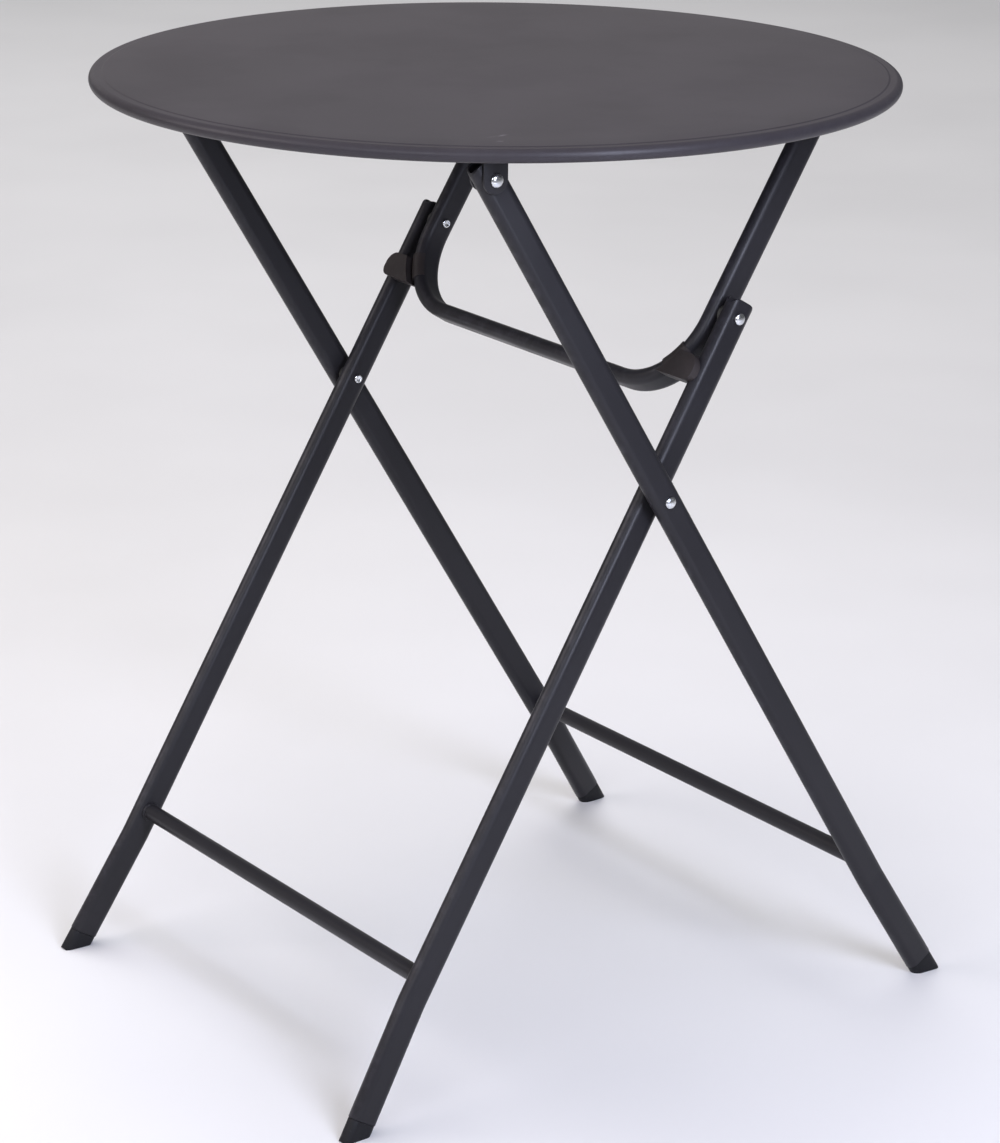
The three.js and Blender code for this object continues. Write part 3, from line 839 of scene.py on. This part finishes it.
def bail_path():
    top = bail.length + BAIL_END
    corners = [bail.at(s, y) for s, y in (
        (top, -bail_y), (BAIL_DROP, -bail_y), (BAIL_DROP, bail_y), (top, bail_y)
    )]
    return rounded_path(corners, BAIL_BEND, 24)


def build_bail():
    mesh = tube_mesh("bail_tube", bail_path(), bail.across)
    piece("fine_bail_tube", mesh, frame_coat, "bail", ["bail_tube"])


def solid_oval_sweep(name, path, across, clearance):
    """A solid flat-oval body along a path, a little larger than the tube, for cutting."""
    section = oval(TUBE_WIDE + 2 * clearance, TUBE_THIN + 2 * clearance)
    verts, faces = [], []
    n = len(section)
    for i, place in enumerate(path):
        back = (place - path[max(i - 1, 0)]).normalized()
        ahead = (path[min(i + 1, len(path) - 1)] - place).normalized()
        side = (back + ahead).normalized().cross(across).normalized()
        verts += [place + across * a + side * b for a, b in section]
    for i in range(len(path) - 1):
        a, b = i * n, (i + 1) * n
        faces += [(a + k, a + (k + 1) % n, b + (k + 1) % n, b + k) for k in range(n)]
    faces.append(tuple(range(n)))
    faces.append(tuple(range(len(verts) - n, len(verts))))
    return mesh_from(name, verts, faces)


def clip_block(name, side, bend):
    """D-shaped block of the clip, with its side towards the bail cut round the bend."""
    in_y = bend.y + BAIL_BEND * math.cos(SLEEVE_ENDS[1])
    proud = -TUBE_WIDE / 2 - CLIP_PROUD
    big, small = CLIP_BIG_CORNER, CLIP_SMALL_CORNER
    outline = [(in_y, CLIP_LOW)]
    outline += arc(CLIP_OUT_Y - small, CLIP_LOW + small, small, -90, 0, 12)
    outline += arc(CLIP_OUT_Y - big, CLIP_HIGH - big, big, 0, 90, 16)
    outline.append((in_y, CLIP_HIGH))
    origin = bail.origin + bail.across * proud
    ways = (Vector((0, side, 0)), bail.along, bail.across, origin)
    block = prism_mesh(name, outline, CLIP_DEEP - proud, ways)
    edge = BAIL_BEND + TUBE_THIN / 2
    centre = bail.at(bend.z, side * bend.y, -0.05)
    ways = (Vector((0, side, 0)), bail.along, bail.across, centre)
    bend_space = prism_mesh("bend_space", arc(0, 0, edge, 0, 357, 119), 0.1, ways)
    return cut_mesh(block, [bend_space])


def clip_mesh(name, side):
    """Moulded clip: a sleeve round the bail's edge and a block that seats on the leg's edge."""
    bend = Vector((0, bail_y - BAIL_BEND, BAIL_BEND + BAIL_DROP))
    line = []
    steps = 14
    for i in range(steps + 1):
        a = SLEEVE_ENDS[0] + (SLEEVE_ENDS[1] - SLEEVE_ENDS[0]) * i / steps
        y = bend.y + BAIL_BEND * math.cos(a)
        line.append(bail.at(bend.z - BAIL_BEND * math.sin(a), side * y))
    sleeve = solid_oval_sweep(name, line, bail.across, GAP + SLEEVE)
    leg_line = [inner.at(inner.length + s, side * inner_y) for s in (-120 * MM, 20 * MM)]
    corner = bail.at(-0.2, -0.5, SLEEVE_DEEP)
    ways = (Vector((0, 1, 0)), bail.along, bail.across, corner)
    deep = prism_mesh("deep", [(0, 0), (1, 0), (1, 0.4), (0, 0.4)], 0.1, ways)
    tools = [
        solid_oval_sweep("bail_space", bail_path(), bail.across, GAP),
        solid_oval_sweep("leg_space", leg_line, inner.across, GAP),
    ]
    sleeve = cut_mesh(sleeve, [deep])
    joined = cut_mesh(sleeve, [clip_block("block", side, bend)], "UNION")
    return cut_mesh(joined, tools, bevel=0.6 * MM, segments=4)


def build_clips():
    for label, side in SIDES:
        node = f"bail_clip_{label}"
        piece(f"fine_{node}", clip_mesh(node, side), clip_plastic, "bail", [node])


build_bail()
build_clips()

# ------------------------------------------------------------------ stage, light and camera

FLOOR_SIZE = 40.0
CAMERA_PLACE = Vector((-1.5447, -2.1594, 1.1985))
CAMERA_HEADING = 36.66
CAMERA_PITCH = -15.61
CAMERA_ROLL = 0.75
CAMERA_LENS = 114.4
CAMERA_SHIFT = (-0.0525, -0.150)


def camera_ways():
    heading, pitch, roll = (math.radians(a) for a in (CAMERA_HEADING, CAMERA_PITCH, CAMERA_ROLL))
    flat = Vector((math.sin(heading), math.cos(heading), 0))
    ahead = flat * math.cos(pitch) + Vector((0, 0, math.sin(pitch)))
    right = Vector((math.cos(heading), -math.sin(heading), 0))
    up = right.cross(ahead)
    turned_right = right * math.cos(roll) + up * math.sin(roll)
    turned_up = up * math.cos(roll) - right * math.sin(roll)
    return turned_right, turned_up, ahead


def build_camera():
    right, up, ahead = camera_ways()
    data = bpy.data.cameras.new("camera")
    data.sensor_width = 36
    data.lens = CAMERA_LENS
    data.shift_x, data.shift_y = CAMERA_SHIFT
    data.clip_end = 60
    camera = bpy.data.objects.new("camera", data)
    turn = Matrix((right, up, -ahead)).transposed().to_4x4()
    camera.matrix_world = Matrix.Translation(CAMERA_PLACE) @ turn
    bpy.context.scene.collection.objects.link(camera)
    bpy.context.scene.camera = camera


def build_floor():
    half = FLOOR_SIZE / 2
    corners = [(-half, -half, 0), (half, -half, 0), (half, half, 0), (-half, half, 0)]
    mesh = mesh_from("floor", corners, [(0, 1, 2, 3)])
    n = Nodes("pale_floor")
    tone = n.mix(n.ramp(n.noise(1.2, 3, 0.6), 0.3, 0.7), (0.70, 0.70, 0.71), (0.74, 0.74, 0.75))
    roughness = n.ramp(n.noise(3, 2, 0.5), 0.3, 0.7, 0.75, 0.9)
    mesh.materials.append(n.finish(tone, roughness))
    floor = bpy.data.objects.new("floor", mesh)
    bpy.context.scene.collection.objects.link(floor)


def soft_light(name, azimuth, elevation, distance, size, watts, colour, shines=True):
    """A soft panel aimed at the middle of the table, placed round it by angles in degrees;
    a panel that doesn't shine lights surfaces without a reflection of its own."""
    turn, rise = math.radians(azimuth), math.radians(elevation)
    target = Vector((0, 0, 0.4))
    way = Vector((math.cos(turn) * math.cos(rise), math.sin(turn) * math.cos(rise), math.sin(rise)))
    data = bpy.data.lights.new(name, "AREA")
    data.shape = "RECTANGLE"
    data.size, data.size_y = size
    data.energy = watts
    data.color = colour
    light = bpy.data.objects.new(name, data)
    light.location = target + way * distance
    light.rotation_mode = "QUATERNION"
    light.rotation_quaternion = (-way).to_track_quat("-Z", "Y")
    light.visible_glossy = shines
    bpy.context.scene.collection.objects.link(light)


def build_lights():
    soft_light("front_panel", -95, 26, 2.0, (0.4, 1.35), 35, (0.76, 0.80, 1.0))
    soft_light("left_panel", -146, 26, 3.6, (2.0, 1.5), 36, (0.92, 0.93, 1.0))
    soft_light("side_panel", 158, 30, 3.2, (2.2, 1.4), 38, (1.0, 0.93, 0.93))
    soft_light("back_panel", 66, 17, 4.5, (3.6, 1.6), 7, (1.0, 0.95, 0.97))
    soft_light("top_panel", 150, 82, 3.4, (2.6, 2.6), 58, (1.0, 0.95, 0.96), False)
    soft_light("floor_wash", 75, 55, 8.2, (5.0, 5.0), 330, (1.0, 0.99, 0.98), False)
    world = bpy.data.worlds.new("studio")
    world.use_nodes = True
    world.node_tree.nodes["Background"].inputs["Color"].default_value = (0.97, 0.98, 1, 1)
    world.node_tree.nodes["Background"].inputs["Strength"].default_value = 0.16
    bpy.context.scene.world = world
    bpy.context.scene.view_settings.view_transform = "Standard"


build_camera()
build_floor()
build_lights()
